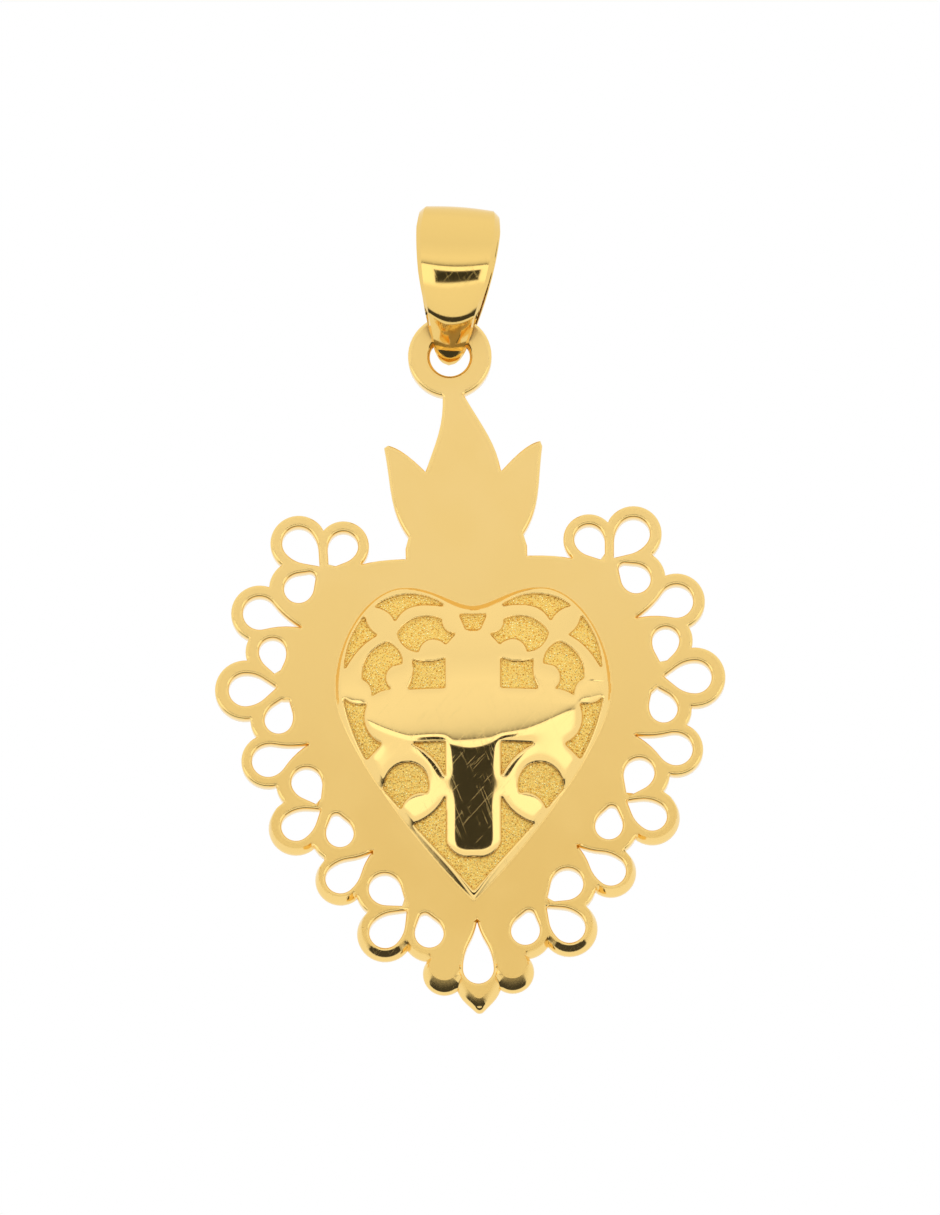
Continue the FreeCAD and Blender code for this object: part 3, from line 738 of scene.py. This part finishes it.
def section(point, along, thick, cut=None, rise=0.0):
    """One cross section, crowned and facetted outside. A cut slides its outer points to one level,
    and a rise lifts them towards the sides."""
    out = np.array([along[1], -along[0]])
    crowning = min(0.6 * thick, np.interp(point[1], *zip(*crowning_at)))
    ring = []
    for share, outer in zip(across, outside):
        facet = max(0.0, (abs(share) - facet_from) / (1 - facet_from))
        lift = (thick - crowning * share ** 2) * (1 - facet_drop * facet) if outer else 0.0
        spot = point + out * lift
        if cut is not None and outer:
            spot = spot + along * (cut - spot[1]) / along[1] * min(1, lift / tongue_thick)
        half_wide = np.interp(spot[1], half_view[:, 1], half_view[:, 0])
        ring.append((share * half_wide, spot[0], spot[1] + rise * outer * share ** 2))
    return ring


strip = []
for station, (point, along) in enumerate(zip(path, ahead)):
    if station < leg_stations:
        rise = 0.0 if station < belly_stations else nip_rise * np.interp(point[1], nip_levels, (0, 1, 1, 0))
        strip.append(section(point, along, strip_thick, None, rise))
    elif station == leg_stations:
        slant = ahead[station - 2]
        strip.append(section(point, slant, strip_thick, -leg_end))
        strip.append(section(point + slant * tongue_start, slant, tongue_thick * tongue_share))
    else:
        back_share = np.clip((station - tongue_stations) / back_blend, 0, 1)
        strip.append(section(point, along, tongue_thick + (strip_thick - tongue_thick) * back_share))
columns = len(across)
faces = []
for r in range(len(strip)):
    for c in range(columns):
        below = (r + 1) % len(strip)
        beside = (c + 1) % columns
        faces.append((r * columns + c, below * columns + c, below * columns + beside, r * columns + beside))
mesh = bpy.data.meshes.new("folded_bail")
mesh.from_pydata([Vector(vert) * MM for ring in strip for vert in ring], [], faces)
hung = Matrix.Rotation(bail_lean, 4, "Y") @ Matrix.Rotation(bail_tilt, 4, "X")
mesh.transform(Matrix.Translation(frame["joints"][0]["pos_m"]) @ hung)
mesh.polygons.foreach_set("use_smooth", [True] * len(mesh.polygons))
mesh.set_sharp_from_angle(angle=bail_sharp_from)
mesh.attributes.new("polish", "FLOAT", "POINT").data.foreach_set("value", [1.0] * len(mesh.vertices))
mesh.attributes.new("deeper", "FLOAT", "POINT").data.foreach_set("value", [1.0] * len(mesh.vertices))
mesh.materials.append(gold)
folded_bail = bpy.data.objects.new("folded_bail", mesh)
bpy.context.scene.collection.objects.link(folded_bail)
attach(folded_bail, "bail_body")
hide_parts("bail")


# Light and camera: a white tent of an upper and a lower panel with a dark gap between them, a dark
# table edge below, plain far sides and rear, and the dark opening that the lens looks through. The
# camera stands 1.5 m off, twelve degrees below the plate's middle, and sees plain white behind.
camera_low = math.radians(12)
camera_roll = math.radians(1.65)
camera_away = 1.5
view_width = 0.047
film_width = 36
aim_up = 3.805
aim_left = 0.01
forward = Vector((0, math.cos(camera_low), math.sin(camera_low)))
level_up = Vector((0, -math.sin(camera_low), math.cos(camera_low)))
level_right = Vector((1, 0, 0))
camera_up = level_up * math.cos(camera_roll) + level_right * math.sin(camera_roll)
camera_right = level_right * math.cos(camera_roll) - level_up * math.sin(camera_roll)
target = middle + camera_up * aim_up * MM - camera_right * aim_left * MM
camera = bpy.data.cameras.new("camera")
camera.sensor_fit = "HORIZONTAL"
camera.sensor_width = film_width
camera.lens = film_width * camera_away / view_width
camera.clip_start = 0.001
camera.clip_end = 10
eye = bpy.data.objects.new("camera", camera)
scene = bpy.context.scene
scene.collection.objects.link(eye)
axes = Matrix((camera_right, camera_up, -forward)).transposed().to_4x4()
eye.matrix_world = Matrix.Translation(target - forward * camera_away) @ axes
scene.camera = eye
scene.view_settings.view_transform = "Standard"

opening_half_wide = math.tan(math.radians(20.5))
opening_half_high = math.tan(math.radians(5.7))
opening_edge = 0.015
opening_light = 0.03
right_side = (0.68, 0.78)
left_side = (0.8, 0.88)
rear_side = (-0.1, 0.1)
brightest = 2.0
lamp_white = (1.0, 0.99, 0.97, 1)
tent = bpy.data.worlds.new("tent")
scene.world = tent
tent.use_nodes = True
tent.node_tree.nodes.clear()
sky = Wire(tent.node_tree)
looking = sky.node("ShaderNodeTexCoord", out=0)
sideways = sky.node("ShaderNodeSeparateXYZ", looking)
off_middle = sky.maths("SQRT", 1.0001 - sideways * sideways)
height_seen = sky.maths("DIVIDE", sky.node("ShaderNodeSeparateXYZ", looking, out=2), off_middle)
panels = [(-90, 1.0), (-79, 1.0), (-75, 0.06), (-50, 0.06), (-46, 1.0), (-22, 1.05), (-18, 1.4),
          (1.2, 1.45), (1.8, 0.08), (2.4, 0.1), (3, 0.45), (6, 0.85), (8.5, 1.0), (11, 1.06),
          (15, 1.07), (22, 1.03), (35, 0.98), (90, 1.03)]
panel_stops = [(0.5 + 0.5 * math.sin(math.radians(angle)), value / brightest) for angle, value in panels]
panel_light = sky.node("ShaderNodeValToRGB", height_seen * 0.5 + 0.5, stops=panel_stops)


def seen_along(axis):
    """How far the direction that is looked at points along an axis."""
    return sky.node("ShaderNodeVectorMath", looking, tuple(axis), operation="DOT_PRODUCT", out=1)


facing_lens = seen_along(-forward)
off_side = sky.maths("ABSOLUTE", sky.maths("DIVIDE", seen_along(level_right), facing_lens))
off_level = sky.maths("ABSOLUTE", sky.maths("DIVIDE", seen_along(level_up), facing_lens))
clear_wide = off_side.smooth(opening_half_wide - opening_edge, opening_half_wide + opening_edge)
clear_high = off_level.smooth(opening_half_high - opening_edge, opening_half_high + opening_edge)
clear_back = sky.maths("LESS_THAN", facing_lens, 0.0)
clear = sky.maths("MAXIMUM", sky.maths("MAXIMUM", clear_wide, clear_high), clear_back)
behind = seen_along((0, 1, 0)).smooth(*rear_side)
plain_side = sky.maths("MAXIMUM", sideways.smooth(*right_side), (sideways * -1.0).smooth(*left_side))
plain_side = sky.maths("MAXIMUM", plain_side, behind)
window = clear * (1.0 - opening_light) + opening_light
glow = (panel_light * brightest * (1.0 - plain_side) + plain_side) * window
lit = sky.node("ShaderNodeBackground", lamp_white, glow)
plain = sky.node("ShaderNodeBackground", (1, 1, 1, 1), 1.0)
camera_ray = sky.node("ShaderNodeLightPath", out=0)
sky.node("ShaderNodeOutputWorld", sky.node("ShaderNodeMixShader", camera_ray, lit, plain))

bpy.context.view_layer.update()
